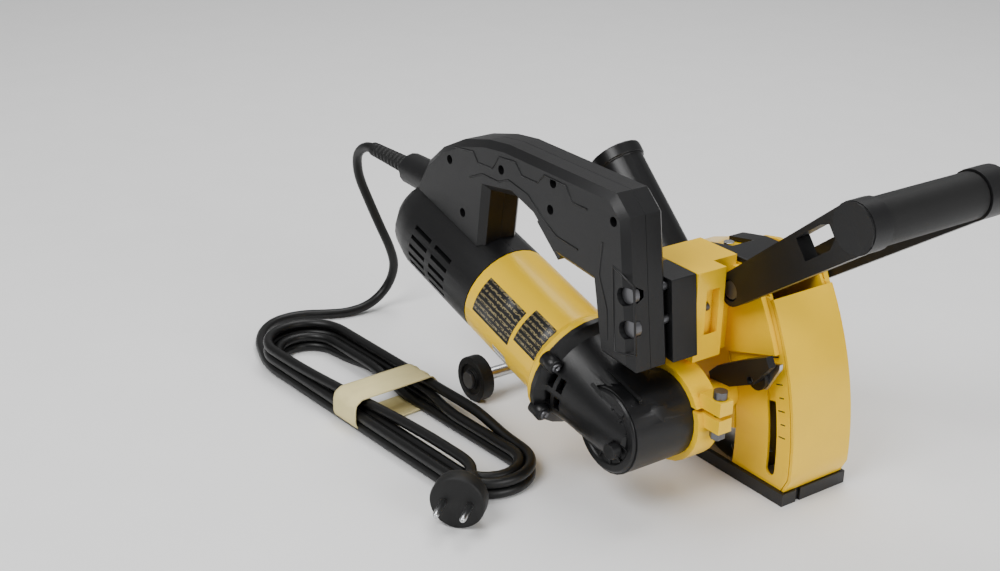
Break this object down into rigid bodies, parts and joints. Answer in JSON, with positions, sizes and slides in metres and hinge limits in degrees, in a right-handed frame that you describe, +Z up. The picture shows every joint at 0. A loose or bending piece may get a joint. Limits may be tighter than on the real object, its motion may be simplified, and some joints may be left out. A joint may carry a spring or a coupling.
{
  "type": "wall chaser",
  "caption": "Hand-held twin-disc wall chaser with hinged guard shoe, tilting front bail handle, dust port, outrigger roller and a coiled mains lead.",
  "frame": {"origin": "bottom centre of the machine without its mains lead, on the plane the shoe stands on", "axes": "+X forward in the direction of cut, +Y to the operator's left, from the motor to the guard, +Z up"},
  "size_m": [0.555, 0.3284, 0.2585],
  "materials": {
    "yellow": "satin yellow paint",
    "housing_yellow": "yellow moulded plastic",
    "black": "textured black plastic",
    "shoe": "black painted sheet",
    "rubber": "soft black rubber",
    "steel": "bright machined steel",
    "dark_steel": "blackened steel",
    "copper": "turned copper",
    "tie": "cream hook and loop strip"
  },
  "bodies": {
    "base": {"shoe_plate": "shoe", "outer_guard_near": "yellow", "outer_guard_far": "yellow", "outer_guard_band": "yellow", "pivot_pin": "steel", "return_spring": "steel", "outrigger_bar": "steel", "roller_screw": "dark_steel", "cord_lead": "rubber", "cord_hank": "rubber", "cord_tie": "tie", "plug": "rubber"},
    "roller": {"outrigger_roller": "rubber"},
    "disc_shaft": {"spindle": "steel", "crown_gear": "steel", "inner_flange": "steel", "disc_near": "steel", "disc_spacer": "steel", "disc_far": "steel", "spindle_nut": "steel"},
    "armature": {"armature_shaft": "steel", "pinion": "steel", "armature_core": "steel", "commutator": "copper", "fan": "black"},
    "front_handle": {"front_handle": "black", "grip_sleeve": "rubber"},
    "trigger": {"trigger": "black"},
    "lock_button": {"lock_button": "black"},
    "depth_lever": {"depth_lever": "black"},
    "power_unit": {"inner_hood_near": "yellow", "inner_hood_far": "yellow", "motor_housing": "housing_yellow", "gear_case": "black", "handle_shell_near": "black", "handle_shell_far": "black", "handle_spacer": "black", "rear_housing_near": "black", "rear_housing_far": "black", "hood_top_strip": "black", "dust_port": "black", "trigger_switch": "black", "cord_sleeve": "rubber", "hood_screw": "steel", "depth_bolt": "steel", "depth_pointer": "steel", "bearing_front": "steel", "bearing_rear": "steel", "bearing_spindle_near": "steel", "bearing_spindle_hood": "steel", "clamp_bolt": "dark_steel", "clamp_nut": "dark_steel", "handle_bolt_upper": "dark_steel", "handle_bolt_lower": "dark_steel", "handle_pivot_near": "dark_steel", "handle_pivot_far": "dark_steel", "stator": "dark_steel", "brush_near": "dark_steel", "brush_far": "dark_steel"}
  },
  "joints": [
    {"name": "plunge", "type": "hinge", "parent": "base", "child": "power_unit", "pos_m": [-0.10275, 0.04855, 0.028], "axis": [0, 1, 0], "range_deg": [0, 8.5], "stiffness_Nm_per_rad": 20, "springref_deg": -34.38},
    {"name": "disc_spin", "type": "hinge", "parent": "power_unit", "child": "disc_shaft", "pos_m": [0.06855, -0.06755, 0.0642], "axis": [0, 1, 0], "continuous": true},
    {"name": "armature_spin", "type": "hinge", "parent": "power_unit", "child": "armature", "pos_m": [0.06855, -0.06755, 0.0642], "axis": [0.9646, 0, -0.2639], "continuous": true},
    {"name": "roller_spin", "type": "hinge", "parent": "base", "child": "roller", "pos_m": [-0.12175, -0.06905, 0.0184], "axis": [0, 1, 0], "continuous": true},
    {"name": "front_handle_tilt", "type": "hinge", "parent": "power_unit", "child": "front_handle", "pos_m": [0.08275, 0.04855, 0.1528], "axis": [0, 1, 0], "range_deg": [-30, 20]},
    {"name": "trigger_press", "type": "slide", "parent": "power_unit", "child": "trigger", "axis": [0.6281, 0, 0.7781], "range_m": [0, 0.0045], "stiffness_N_per_m": 400, "springref_m": -0.005},
    {"name": "lock_button_press", "type": "slide", "parent": "power_unit", "child": "lock_button", "axis": [0, 1, 0], "range_m": [0, 0.003], "stiffness_N_per_m": 500, "springref_m": -0.004},
    {"name": "depth_lever_turn", "type": "hinge", "parent": "power_unit", "child": "depth_lever", "pos_m": [0.10921, 0.00455, 0.09402], "axis": [0, 1, 0], "range_deg": [0, 12]}
  ],
  "couplings": [
    {"joint": "armature_spin", "follows": "disc_spin", "ratio": 4}
  ]
}
